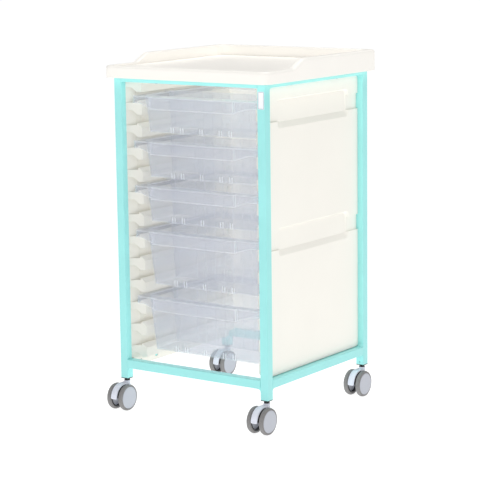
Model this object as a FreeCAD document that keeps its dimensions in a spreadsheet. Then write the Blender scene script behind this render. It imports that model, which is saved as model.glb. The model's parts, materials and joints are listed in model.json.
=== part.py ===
"""Classroom tray storage unit: a welded square-tube trolley on four twin-wheel castors.

Millimetres, +Z up, +X to the unit's right-hand side, -Y to the front where the trays pull out.
The origin lies on the floor under the centre of the frame.
"""
import FreeCAD
import Part
import Sketcher
import math
import os

V = FreeCAD.Vector

doc = FreeCAD.newDocument("tray_storage_unit")

# ---------------------------------------------------------------------------
# Driving sizes: each cell of the sheet holds a plain number and has a name.
# ---------------------------------------------------------------------------

DRIVING_SIZES = [
    # frame
    ("frame_width", 510),
    ("frame_depth", 520),
    ("post_foot_height", 90),
    ("post_crown_height", 963),
    ("lower_rail_height", 119.5),
    ("tube_side", 25),
    ("tube_wall", 1.5),
    ("tube_corner", 2),
    ("weld_fillet", 9),
    ("pin_hole_radius", 1.8),
    ("pin_hole_rise", 7),
    # clearances
    ("seat_gap", 0.3),
    ("running_gap", 0.05),
    ("screw_clearance", 0.2),
    # worktop
    ("top_overhang", 22),
    ("top_corner", 25),
    ("top_skirt_lap", 13),
    ("top_floor_rise", 15),
    ("top_lip_rise", 21),
    ("top_gallery_rise", 46),
    ("top_gallery_width", 21),
    ("top_front_lip_width", 14),
    ("top_wall", 4),
    ("top_ramp_start", 132),
    ("top_ramp_run", 50),
    ("top_outer_round", 8),
    ("top_inner_round", 4.5),
    ("top_rib_pitch", 112),
    ("top_rib_thickness", 5),
    ("top_rib_cells", 4),
    # outer side panels
    ("panel_inset", 18),
    ("panel_skin", 2.8),
    ("panel_flange_depth", 6.7),
    ("panel_gap", 1.6),
    ("panel_corner", 11),
    ("trough_depth", 7),
    ("trough_wall", 2),
    ("trough_front_inset", 60),
    ("trough_rear_inset", 51),
    ("trough_tall", 78),
    ("trough_low_height", 474),
    ("trough_pitch", 350),
    ("trough_soft_slope", 16),
    ("trough_sharp_slope", 3),
    ("trough_end_slope", 10),
    ("notch_tall", 44),
    ("notch_rise", 18),
    ("notch_depth", 5),
    ("panel_boss_radius", 5),
    ("panel_boss_inset", 45),
    # runner liners
    ("liner_wall", 2.5),
    ("liner_channel", 13),
    ("runner_reach", 35.5),
    ("runner_pitch", 63.25),
    ("runner_count", 12),
    ("top_slot_floor_height", 878),
    ("slot_open_height", 28.75),
    ("ridge_rise", 5),
    ("ridge_width", 11.5),
    ("ridge_land", 2.5),
    ("ridge_bevel", 13),
    ("mouth_run", 26),
    ("mouth_lap", 5),
    ("mouth_flare_rise", 14),
    ("nose_round", 3),
    ("flare_inset", 10),
    ("runner_rear_inset", 21),
    ("liner_flange_drop", 24),
    ("obround_from_centre", 127),
    ("obround_width", 6),
    ("obround_long", 13),
    ("liner_gap", 1.5),
    ("liner_screw_inset", 35),
    # back panel
    ("back_skin", 2.5),
    ("back_flange_depth", 15),
    ("groove_pitch", 30),
    ("groove_width", 2.4),
    ("groove_depth", 1),
    ("groove_count", 15),
    ("back_screw_pitch", 316),
    # trays
    ("tray_side_gap", 4),
    ("tray_front", 240),
    ("tray_rear", 160),
    ("tray_rim_corner", 17),
    ("tray_rim_height", 20),
    ("tray_rear_rim_height", 12),
    ("tray_wall", 2.2),
    ("tray_floor", 2.5),
    ("bin_side_gap", 2.5),
    ("bin_front", 208),
    ("bin_rear", 141),
    ("bin_corner", 12),
    ("bin_lean", 0.08),
    ("shallow_depth", 104),
    ("deep_depth", 159),
    ("skirt_dip_inset", 31),
    ("handle_inset", 71.5),
    ("handle_drop", 34),
    ("handle_proud", 7),
    ("stacking_rib_pitch", 33),
    ("stacking_rib_spacing", 8),
    ("stacking_rib_width", 2),
    ("stacking_rib_tall", 16),
    ("stacking_rib_proud", 2),
    # dividers
    ("divider_front", 77),
    ("divider_thickness", 2.2),
    ("divider_rib_pitch", 32.4),
    ("divider_rib_width", 2.4),
    ("divider_rib_count", 8),
    ("divider_hook_reach", 14),
    ("divider_end_run", 20),
    # castors
    ("wheel_radius", 37.5),
    ("wheel_width", 15.5),
    ("wheel_spacing", 25),
    ("tyre_thickness", 6),
    ("tyre_round", 5),
    ("tyre_side_step", 0.8),
    ("castor_trail", 25),
    ("axle_radius", 4),
    ("hub_boss_radius", 8),
    ("hub_rim", 4),
    ("cap_thickness", 3),
    ("cap_bevel", 1.5),
    ("hood_half_width", 9.9),
    ("hood_thickness", 3.2),
    ("hood_clear", 1.2),
    ("hood_end_round", 4),
    ("hood_border", 2.8),
    ("hood_field_depth", 0.7),
    ("fork_web", 6),
    ("swivel_boss_radius", 9.2),
    ("swivel_boss_height", 81),
    ("swivel_boss_foot", 50),
    ("swivel_bore_floor", 4),
    ("stem_radius", 5),
    ("stem_neck_radius", 7.8),
    ("stem_reach", 34),
    ("plug_flange", 2),
    ("plug_reach", 30),
    # screws
    ("screw_shank_radius", 2),
    ("screw_head_radius", 4.2),
    ("screw_head_height", 2.2),
    ("top_screw_bite", 9),
    ("panel_screw_bite", 9),
    ("tube_screw_tail", 6),
]

# Rim tops are counted down the column of slots, with the slot of each tray named here.
SHALLOW_SLOTS = (0, 2, 4)
DEEP_SLOTS = (6, 9)
PANEL_SCREW_SLOTS = (1, 10)

# Pairs of stacking ribs on a tray's foot, in steps from its middle.
STACKING_RIB_STEPS = (-3, -2, 0, 2, 3)

SIDES = (("left", -1), ("right", 1))
ENDS = (("front", -1), ("rear", 1))

NEAR = 0.01
SMOOTH_ANGLE = 0.2
HOOD_FIELD_TURN = 85

# How far the middle of a quarter-round shoulder lies inside its corner, as a share of its radius.
TYRE_SHOULDER_TURN_IN = 0.293


class Length:
    """A size that carries its number and the sheet expression that it comes from."""

    def __init__(self, value, text):
        self.value = float(value)
        self.text = text

    def __add__(self, other):
        other = length(other)
        return Length(self.value + other.value, "({} + {})".format(self.text, other.text))

    def __sub__(self, other):
        other = length(other)
        return Length(self.value - other.value, "({} - {})".format(self.text, other.text))

    def __mul__(self, other):
        other = length(other)
        return Length(self.value * other.value, "({} * {})".format(self.text, other.text))

    def __truediv__(self, other):
        other = length(other)
        return Length(self.value / other.value, "({} / {})".format(self.text, other.text))

    def __neg__(self):
        return length(0) - self

    def __radd__(self, other):
        return length(other) + self

    def __rsub__(self, other):
        return length(other) - self

    def __rmul__(self, other):
        return length(other) * self


def length(size):
    """A Length from a Length or a plain number."""
    if isinstance(size, Length):
        return size
    return Length(size, repr(size) if size >= 0 else "({})".format(size))


def hypotenuse(across, along):
    """The length of a slant from its two legs."""
    value = math.hypot(across.value, along.value)
    return Length(value, "hypot({}; {})".format(across.text, along.text))


def fill_sheet():
    """Write the driving sizes to the spreadsheet and return them as Lengths by name."""
    sheet = doc.addObject("Spreadsheet::Sheet", "Size")
    sizes = {}
    for row, (name, number) in enumerate(DRIVING_SIZES, 1):
        sheet.set("A%d" % row, name)
        sheet.set("B%d" % row, str(number))
        sheet.setAlias("B%d" % row, name)
    doc.recompute()
    for name, number in DRIVING_SIZES:
        sizes[name] = Length(sheet.get(name), "Size." + name)
    return sizes


class Sizes:
    """The driving sizes, and the places that several pieces share."""


S = Sizes()
for size_name, size_length in fill_sheet().items():
    setattr(S, size_name, size_length)

S.half_width = S.frame_width / 2
S.half_depth = S.frame_depth / 2
S.inner_half_width = S.half_width - S.tube_side
S.inner_half_depth = S.half_depth - S.tube_side
S.post_x = S.half_width - S.tube_side / 2
S.post_y = S.half_depth - S.tube_side / 2
S.lower_rail_top = S.lower_rail_height + S.tube_side
S.upper_rail_foot = S.post_crown_height - S.tube_side
S.slot_wall_x = S.inner_half_width - S.liner_channel
S.runner_face_x = S.inner_half_width - S.runner_reach
S.tray_half_width = S.slot_wall_x - S.tray_side_gap
S.bin_half_width = S.runner_face_x - S.bin_side_gap
S.lower_liner_height = S.lower_rail_top + S.liner_gap
S.upper_liner_height = S.upper_rail_foot - S.liner_gap
S.liner_screw_y = S.inner_half_depth - S.liner_screw_inset
S.panel_screw_y = S.inner_half_depth - S.panel_boss_inset
S.screw_hole_radius = S.screw_shank_radius + S.screw_clearance


# ---------------------------------------------------------------------------
# Helpers that make named, bound features
# ---------------------------------------------------------------------------

def follow(thing, path, size):
    """Tie one number of a feature to the sheet, if the sheet drives it."""
    if "Size." in size.text:
        thing.setExpression(path, size.text)


def bind(thing, name, size):
    """Set a property to a size and keep it tied to the sheet."""
    size = length(size)
    setattr(thing, name, size.value)
    follow(thing, name, size)


def new_body(label, x=0, y=0, z=0, turn=0):
    """An empty body with its own label, placed at (x, y, z) and turned about Z."""
    body = doc.addObject("PartDesign::Body", label)
    body.Label = label
    x, y, z = length(x), length(y), length(z)
    place = FreeCAD.Placement(V(x.value, y.value, z.value), FreeCAD.Rotation(V(0, 0, 1), turn))
    body.Placement = place
    for axis, size in (("x", x), ("y", y), ("z", z)):
        follow(body, "Placement.Base." + axis, size)
    return body


def origin_feature(body, role):
    """The plane or axis of a body's own origin."""
    return next(item for item in body.Origin.OriginFeatures if item.Role == role)


def new_sketch(body, plane, offset=0):
    """A sketch on one of the body's planes: XY at z, XZ at y, or YZ at x = offset."""
    sketch = body.newObject("Sketcher::SketchObject", body.Name + "_sketch")
    sketch.AttachmentSupport = [(origin_feature(body, plane + "_Plane"), "")]
    sketch.MapMode = "FlatFace"
    along_normal = -length(offset) if plane == "XZ" else length(offset)
    sketch.AttachmentOffset = FreeCAD.Placement(V(0, 0, along_normal.value), FreeCAD.Rotation())
    follow(sketch, "AttachmentOffset.Base.z", along_normal)
    return sketch


def constrain(sketch, constraints):
    """Add (constraint, size) pairs and tie each that has a size to the sheet."""
    first = sketch.ConstraintCount
    sketch.addConstraint([constraint for constraint, size in constraints])
    for number, (constraint, size) in enumerate(constraints, first):
        if size is not None:
            follow(sketch, "Constraints[%d]" % number, size)


def corner_points(points, number):
    """Where the sides beside a corner leave off, and whether the outline turns left there."""
    before = points[number - 1]
    here = points[number]
    after = points[(number + 1) % len(points)]
    corner = V(here[0].value, here[1].value, 0)
    back = (V(before[0].value, before[1].value, 0) - corner).normalize()
    ahead = (V(after[0].value, after[1].value, 0) - corner).normalize()
    if here[2].value == 0:
        return corner, corner, None, True
    half_angle = back.getAngle(ahead) / 2
    setback = here[2].value / math.tan(half_angle)
    centre = corner + (back + ahead).normalize() * (here[2].value / math.sin(half_angle))
    turns_left = (-back).cross(ahead).z > 0
    return corner + back * setback, corner + ahead * setback, centre, turns_left


def outline(sketch, corners):
    """A closed outline through corners, each (x, y) or (x, y, radius), anticlockwise."""
    points = []
    for corner in corners:
        radius = length(corner[2]) if len(corner) > 2 else length(0)
        points.append((length(corner[0]), length(corner[1]), radius))
    ends = [corner_points(points, number) for number in range(len(points))]
    first = sketch.GeometryCount
    sides = []
    for number, end in enumerate(ends):
        following = ends[(number + 1) % len(ends)]
        sides.append(Part.LineSegment(end[1], following[0]))
    sketch.addGeometry(sides, False)
    constraints = []
    for number, (arrive, leave, centre, turns_left) in enumerate(ends):
        x, y, radius = points[number]
        side_in = first + (number - 1) % len(points)
        side_out = first + number
        if centre is None:
            constraints.append((Sketcher.Constraint("Coincident", side_in, 2, side_out, 1), None))
            constraints.append((Sketcher.Constraint("DistanceX", side_out, 1, x.value), x))
            constraints.append((Sketcher.Constraint("DistanceY", side_out, 1, y.value), y))
            continue
        start, stop = (arrive, leave) if turns_left else (leave, arrive)
        circle = Part.Circle(centre, V(0, 0, 1), radius.value)
        arc = Part.ArcOfCircle(circle, circle.parameter(start), circle.parameter(stop))
        arc_number = sketch.addGeometry(arc, False)
        arc_in, arc_out = (1, 2) if turns_left else (2, 1)
        corner_number = sketch.addGeometry(Part.Point(V(x.value, y.value, 0)), True)
        constraints += [
            (Sketcher.Constraint("Tangent", side_in, 2, arc_number, arc_in), None),
            (Sketcher.Constraint("Tangent", arc_number, arc_out, side_out, 1), None),
            (Sketcher.Constraint("DistanceX", corner_number, 1, x.value), x),
            (Sketcher.Constraint("DistanceY", corner_number, 1, y.value), y),
            (Sketcher.Constraint("PointOnObject", corner_number, 1, side_in), None),
            (Sketcher.Constraint("PointOnObject", corner_number, 1, side_out), None),
            (Sketcher.Constraint("Radius", arc_number, radius.value), radius),
        ]
    constrain(sketch, constraints)


def rectangle(sketch, left, low, right, high, radius=0):
    """A rectangle between two corners, with the same radius at each corner."""
    outline(sketch, [(left, low, radius), (right, low, radius),
                     (right, high, radius), (left, high, radius)])


def circle(sketch, x, y, radius):
    """A full circle."""
    x, y, radius = length(x), length(y), length(radius)
    shape = Part.Circle(V(x.value, y.value, 0), V(0, 0, 1), radius.value)
    number = sketch.addGeometry(shape, False)
    constrain(sketch, [
        (Sketcher.Constraint("DistanceX", number, 3, x.value), x),
        (Sketcher.Constraint("DistanceY", number, 3, y.value), y),
        (Sketcher.Constraint("Radius", number, radius.value), radius),
    ])


def feature(body, kind, sketch, depth, backwards=False):
    """A Pad or Pocket of a sketch."""
    made = body.newObject("PartDesign::" + kind, body.Name + "_" + kind.lower())
    made.Profile = sketch
    bind(made, "Length", depth)
    made.Reversed = backwards
    sketch.Visibility = False
    return made


def pad_up(body, low, high, corners):
    """Pad a floor-plan outline from height low to height high."""
    sketch = new_sketch(body, "XY", low)
    outline(sketch, corners)
    return feature(body, "Pad", sketch, length(high) - low)


def pocket_up(body, low, high, corners):
    """Cut a floor-plan outline from height low to height high."""
    sketch = new_sketch(body, "XY", low)
    outline(sketch, corners)
    return feature(body, "Pocket", sketch, length(high) - low, True)


def pad_back(body, front, rear, corners):
    """Pad an outline seen from the front (x, z), from y = front to y = rear."""
    sketch = new_sketch(body, "XZ", front)
    outline(sketch, corners)
    return feature(body, "Pad", sketch, length(rear) - front, True)


def pocket_back(body, front, rear, corners):
    """Cut an outline seen from the front (x, z), from y = front to y = rear."""
    sketch = new_sketch(body, "XZ", front)
    outline(sketch, corners)
    return feature(body, "Pocket", sketch, length(rear) - front)


def pad_right(body, left, right, corners):
    """Pad an outline seen from the side (y, z), from x = left to x = right."""
    sketch = new_sketch(body, "YZ", left)
    outline(sketch, corners)
    return feature(body, "Pad", sketch, length(right) - left)


def pocket_right(body, left, right, corners):
    """Cut an outline seen from the side (y, z), from x = left to x = right."""
    sketch = new_sketch(body, "YZ", left)
    outline(sketch, corners)
    return feature(body, "Pocket", sketch, length(right) - left, True)


def drill(body, plane, offset, depth, centres, radius):
    """Round holes along the plane's axis, from offset on by depth."""
    sketch = new_sketch(body, plane, offset)
    for x, y in centres:
        circle(sketch, x, y, radius)
    return feature(body, "Pocket", sketch, depth, plane != "XZ")


def box_corners(left, low, right, high, radius=0):
    """The four corners of a rectangle for an outline."""
    return [(left, low, radius), (right, low, radius), (right, high, radius), (left, high, radius)]


def loft(body, kind, sections, plane="XY"):
    """An AdditiveLoft or SubtractiveLoft through outlines, each (offset, corners)."""
    sketches = []
    for offset, corners in sections:
        sketch = new_sketch(body, plane, offset)
        outline(sketch, corners)
        sketch.Visibility = False
        sketches.append(sketch)
    made = body.newObject("PartDesign::" + kind, body.Name + "_loft")
    made.Profile = sketches[0]
    made.Sections = sketches[1:]
    made.Ruled = True
    return made


def repeat(body, originals, axis, spacing, count, backwards=False):
    """Repeat features along one of the body's axes."""
    pattern = body.newObject("PartDesign::LinearPattern", body.Name + "_pattern")
    pattern.Originals = originals
    pattern.Direction = (origin_feature(body, axis + "_Axis"), [""])
    pattern.Mode = "Spacing"
    bind(pattern, "Offset", spacing)
    count = length(count)
    pattern.Occurrences = int(count.value)
    follow(pattern, "Occurrences", count)
    pattern.Reversed = backwards
    body.Tip = pattern
    return pattern


def is_sharp(shape, edge):
    """Whether the two faces beside an edge meet at a corner, and not in one smooth run."""
    faces = shape.ancestorsOfType(edge, Part.Face)
    if len(faces) != 2:
        return False
    middle = edge.valueAt((edge.FirstParameter + edge.LastParameter) / 2)
    normals = [face.normalAt(*face.Surface.parameter(middle)) for face in faces]
    return normals[0].getAngle(normals[1]) > SMOOTH_ANGLE


def round_edges(body, radius, wanted):
    """Fillet the sharp edges of the body's tip for which wanted(edge) is true."""
    doc.recompute()
    base = body.Tip
    names = [
        "Edge%d" % number
        for number, edge in enumerate(base.Shape.Edges, 1)
        if wanted(edge) and is_sharp(base.Shape, edge)
    ]
    fillet = body.newObject("PartDesign::Fillet", body.Name + "_fillet")
    fillet.Base = (base, names)
    bind(fillet, "Radius", radius)
    return fillet


def mirrored(source, label):
    """The opposite hand of a piece, mirrored in the unit's middle plane."""
    twin = doc.addObject("Part::Mirroring", label)
    twin.Label = label
    twin.Source = source
    twin.Normal = V(1, 0, 0)
    return twin


def revolve(body, kind, plane, corners, axis, angle=360):
    """A Revolution or Groove of an outline about one of the body's axes."""
    sketch = new_sketch(body, plane)
    outline(sketch, corners)
    made = body.newObject("PartDesign::" + kind, body.Name + "_" + kind.lower())
    made.Profile = sketch
    made.ReferenceAxis = (origin_feature(body, axis + "_Axis"), [""])
    made.Angle = angle
    sketch.Visibility = False
    return made


# ---------------------------------------------------------------------------
# Frame
# ---------------------------------------------------------------------------

def tube_section(sketch):
    """The square tube's section, centred on the sketch's origin."""
    half = S.tube_side / 2
    bore = half - S.tube_wall
    rectangle(sketch, -half, -half, half, half, S.tube_corner)
    rectangle(sketch, -bore, -bore, bore, bore)


def frame_tube(label, plane, run, x, y, z):
    """A square tube along the plane's normal, from (x, y, z) on by run."""
    body = new_body(label, x, y, z)
    sketch = new_sketch(body, plane)
    tube_section(sketch)
    feature(body, "Pad", sketch, run, plane == "XZ")
    return body


def pad_weld_fillets(rail, pad, run, upward):
    """Hollow weld fillets at both ends of a rail, over it or under it, where it meets the posts."""
    half = S.tube_side / 2
    side = half - S.tube_corner
    land = S.tube_wall / 2
    reach = half + S.weld_fillet
    section = [
        (0, half - land),
        (S.weld_fillet, half - land),
        (S.weld_fillet, half + land),
        (land, half + land, S.weld_fillet - land * 2),
        (land, reach),
        (0, reach),
    ]
    if not upward:
        section = [(corner[0], -corner[1]) + corner[2:] for corner in reversed(section)]
    pad(rail, -side, side, section)
    pad(rail, -side, side, [(run - corner[0],) + corner[1:] for corner in reversed(section)])


def liner_screw_places():
    """Places along a side rail of the screws that hold a liner's flange."""
    return (-S.liner_screw_y, length(0), S.liner_screw_y)


def top_screw_places():
    """Places along any upper rail of the screws that hold the worktop."""
    return (-S.inner_half_width / 2, S.inner_half_width / 2)


def top_screw_points():
    """(x, y) of all the screws that hold the worktop, two over each upper rail."""
    points = [(x, S.post_y * toward_back) for x in top_screw_places() for end, toward_back in ENDS]
    points += [(S.post_x * toward_right, y) for y in top_screw_places() for side, toward_right in SIDES]
    return points


def back_screw_heights():
    """Heights of the screws that hold the back panel to the rear posts."""
    middle = (S.lower_rail_top + S.upper_rail_foot) / 2
    return (middle - S.back_screw_pitch, middle, middle + S.back_screw_pitch)


def make_posts():
    """Four posts, pinned at the foot; the rear ones are drilled inside for the back panel."""
    tall = S.post_crown_height - S.post_foot_height
    for end, toward_back in ENDS:
        for side, toward_right in SIDES:
            post = frame_tube("post_%s_%s" % (end, side), "XY", tall,
                              S.post_x * toward_right, S.post_y * toward_back, S.post_foot_height)
            half = S.tube_side / 2
            inner = -half if toward_back > 0 else half - S.tube_wall
            drill(post, "XZ", inner, S.tube_wall, [(0, S.pin_hole_rise)], S.pin_hole_radius)
            if end == "rear":
                inner = -half if toward_right > 0 else half - S.tube_wall
                centres = [(0, height - S.post_foot_height) for height in back_screw_heights()]
                drill(post, "YZ", inner, S.tube_wall, centres, S.screw_hole_radius)


def make_rails():
    """Lower and upper rails between the posts, drilled for the screws that they carry."""
    half = S.tube_side / 2
    cross_run = S.inner_half_width * 2
    side_run = S.inner_half_depth * 2
    for level, height in (("lower", S.lower_rail_height + half), ("upper", S.post_crown_height - half)):
        for end, toward_back in ENDS:
            rail = frame_tube("%s_rail_%s" % (level, end), "YZ", cross_run,
                              -S.inner_half_width, S.post_y * toward_back, height)
            if level == "lower":
                pad_weld_fillets(rail, pad_back, cross_run, False)
            else:
                places = [(S.inner_half_width + x, 0) for x in top_screw_places()]
                drill(rail, "XY", -half, S.tube_side, places, S.screw_hole_radius)
        for side, toward_right in SIDES:
            rail = frame_tube("%s_rail_%s" % (level, side), "XZ", side_run,
                              S.post_x * toward_right, -S.inner_half_depth, height)
            inner = -half if toward_right > 0 else half - S.tube_wall
            pad_weld_fillets(rail, pad_right, side_run, level == "lower")
            if level == "lower":
                pad_weld_fillets(rail, pad_right, side_run, False)
            offset = flange_screw_height(level) - height
            places = [(S.inner_half_depth + y, offset) for y in liner_screw_places()]
            drill(rail, "YZ", inner, S.tube_wall, places, S.screw_hole_radius)
            if level == "upper":
                places = [(0, S.inner_half_depth + y) for y in top_screw_places()]
                drill(rail, "XY", -half, S.tube_side, places, S.screw_hole_radius)


# ---------------------------------------------------------------------------
# Worktop
# ---------------------------------------------------------------------------

def make_worktop():
    """Moulded worktop: skirt over the rails, dished surface, gallery on three sides."""
    body = new_body("worktop")
    half_x = S.half_width + S.top_overhang
    half_y = S.half_depth + S.top_overhang
    foot = S.post_crown_height - S.top_skirt_lap
    floor = S.post_crown_height + S.top_floor_rise
    lip = S.post_crown_height + S.top_lip_rise
    crown = S.post_crown_height + S.top_gallery_rise
    pad_up(body, foot, crown, box_corners(-half_x, -half_y, half_x, half_y, S.top_corner))

    inner_x = half_x - S.top_gallery_width
    inner_rear = half_y - S.top_gallery_width
    inner_front = -half_y + S.top_front_lip_width
    pocket_up(body, floor, crown, box_corners(-inner_x, inner_front, inner_x, inner_rear, S.top_corner))

    ramp_front = -half_y + S.top_ramp_start
    ramp_rear = ramp_front + S.top_ramp_run
    over = crown + 1
    pocket_right(body, -half_x - 1, half_x + 1, [
        (-half_y - 1, lip),
        (ramp_front, lip, S.top_ramp_run / 2),
        (ramp_rear, crown, S.top_ramp_run / 2),
        (ramp_rear + 1, crown),
        (ramp_rear + 1, over),
        (-half_y - 1, over),
    ])

    def on_outer_wall(edge):
        box = edge.BoundBox
        reach_x = max(abs(box.XMin), abs(box.XMax))
        reach_y = max(abs(box.YMin), abs(box.YMax))
        return reach_x > half_x.value - NEAR or reach_y > half_y.value - NEAR

    def above_floor(edge):
        return edge.BoundBox.ZMin > floor.value + NEAR

    round_edges(body, S.top_outer_round, lambda edge: above_floor(edge) and on_outer_wall(edge))
    round_edges(body, S.top_inner_round, above_floor)

    seat = S.seat_gap / 2
    pocket_up(body, foot, S.post_crown_height, box_corners(
        -S.half_width - seat, -S.half_depth - seat, S.half_width + seat, S.half_depth + seat,
        S.tube_corner))

    cell = S.top_rib_pitch - S.top_rib_thickness
    first = -S.top_rib_pitch * S.top_rib_cells / 2 + S.top_rib_thickness / 2
    ceiling = floor - S.top_wall
    cell_cut = pocket_up(body, S.post_crown_height, ceiling,
                         box_corners(first, first, first + cell, first + cell))
    row = body.newObject("PartDesign::LinearPattern", "worktop_cells")
    row.Originals = [cell_cut]
    row.Direction = (origin_feature(body, "X_Axis"), [""])
    row.Direction2 = (origin_feature(body, "Y_Axis"), [""])
    row.Mode = "Spacing"
    row.Mode2 = "Spacing"
    for path, size in (("Offset", S.top_rib_pitch), ("Offset2", S.top_rib_pitch),
                       ("Occurrences", S.top_rib_cells), ("Occurrences2", S.top_rib_cells)):
        row.setExpression(path, size.text)
    body.Tip = row

    for sign in (-1, 1):
        near = half_x - S.top_gallery_width + S.top_wall
        far = half_x - S.top_wall
        left, right = (near, far) if sign > 0 else (-far, -near)
        pocket_up(body, foot, ceiling, box_corners(left, -half_y + S.top_corner, right,
                                                   half_y - S.top_corner))
        pocket_up(body, ceiling, crown - S.top_wall - S.top_outer_round / 2,
                  box_corners(left, ramp_rear, right, half_y - S.top_corner))
    drill(body, "XY", S.post_crown_height, S.top_screw_bite + 1, top_screw_points(),
          S.screw_shank_radius + S.running_gap)
    return body


# ---------------------------------------------------------------------------
# Outer side panels
# ---------------------------------------------------------------------------

def trough_corners(shrink, low, front, rear, foot, corner):
    """A trough's outline in (y, z): sharp slope above, soft slope below, sloping ends."""
    top = low + S.trough_tall - S.trough_sharp_slope * shrink
    bottom = low + S.trough_soft_slope * shrink
    return [
        (front + foot * shrink, bottom, corner),
        (rear - foot * shrink, bottom, corner),
        (rear - foot * shrink, top, corner),
        (front + foot * shrink, top, corner),
    ]


def grown(corners, by, radius):
    """A rectangle outline made larger all round."""
    (left, low), (right, high) = corners[0][:2], corners[2][:2]
    return box_corners(left - by, low - by, right + by, high + by, radius)


def make_side_panels():
    """Moulded side panel with two hand-troughs that run out through notches at both edges."""
    body = new_body("side_panel_right")
    face = S.half_width - S.panel_inset
    inside = face - S.panel_skin
    rim = face - S.panel_flange_depth
    end = S.inner_half_depth - S.seat_gap
    low = S.lower_rail_top + S.panel_gap
    high = S.upper_rail_foot - S.panel_gap
    pad_right(body, rim, face, box_corners(-end, low, end, high, S.panel_corner))
    wall = S.panel_skin
    pocket_right(body, rim, inside, box_corners(-end + wall, low + wall, end - wall, high - wall,
                                                S.panel_corner - wall))

    floor = face - S.trough_depth
    back = floor - S.trough_wall
    front = -S.inner_half_depth + S.trough_front_inset
    rear = S.inner_half_depth - S.trough_rear_inset
    corner = S.trough_sharp_slope * 4
    outer = trough_corners(0, S.trough_low_height, front, rear, S.trough_end_slope, corner)
    inner = trough_corners(1, S.trough_low_height, front, rear, S.trough_end_slope, corner)
    wall = S.trough_wall
    shell = loft(body, "AdditiveLoft", [(back, grown(inner, wall, corner + wall)),
                                        (inside, grown(outer, wall, corner + wall))], "YZ")
    notch_low = S.trough_low_height + S.notch_rise
    notch_high = notch_low + S.notch_tall
    notch_floor = face - S.notch_depth
    sleeve = pad_right(body, rim, inside, box_corners(-end, notch_low - wall, end, notch_high + wall))
    hollow = loft(body, "SubtractiveLoft", [(floor, inner), (face, outer)], "YZ")
    notch = pocket_right(body, notch_floor, face, box_corners(-end, notch_low, end, notch_high))
    repeat(body, [shell, sleeve, hollow, notch], "Z", S.trough_pitch, 2)

    boss_face = S.slot_wall_x + S.liner_wall
    sketch = new_sketch(body, "YZ", boss_face)
    for y, z in panel_screw_places():
        circle(sketch, y, z, S.panel_boss_radius)
    feature(body, "Pad", sketch, inside - boss_face)
    drill(body, "YZ", boss_face, S.panel_screw_bite + 1, panel_screw_places(),
          S.screw_shank_radius + S.running_gap)
    mirrored(body, "side_panel_left")
    return body


def panel_screw_places():
    """(y, z) of the screws that hold a side panel to its liner, in two slots left free."""
    heights = [S.top_slot_floor_height - S.runner_pitch * slot + S.slot_open_height / 2
               for slot in PANEL_SCREW_SLOTS]
    return [(y, z) for y in (-S.panel_screw_y, S.panel_screw_y) for z in heights]


# ---------------------------------------------------------------------------
# Runner liners
# ---------------------------------------------------------------------------

def flange_screw_height(level):
    """Height of the screws through a liner's lower or upper flange."""
    reach = S.liner_flange_drop / 2
    if level == "lower":
        return S.lower_rail_top - reach
    return S.upper_rail_foot + reach


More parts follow.
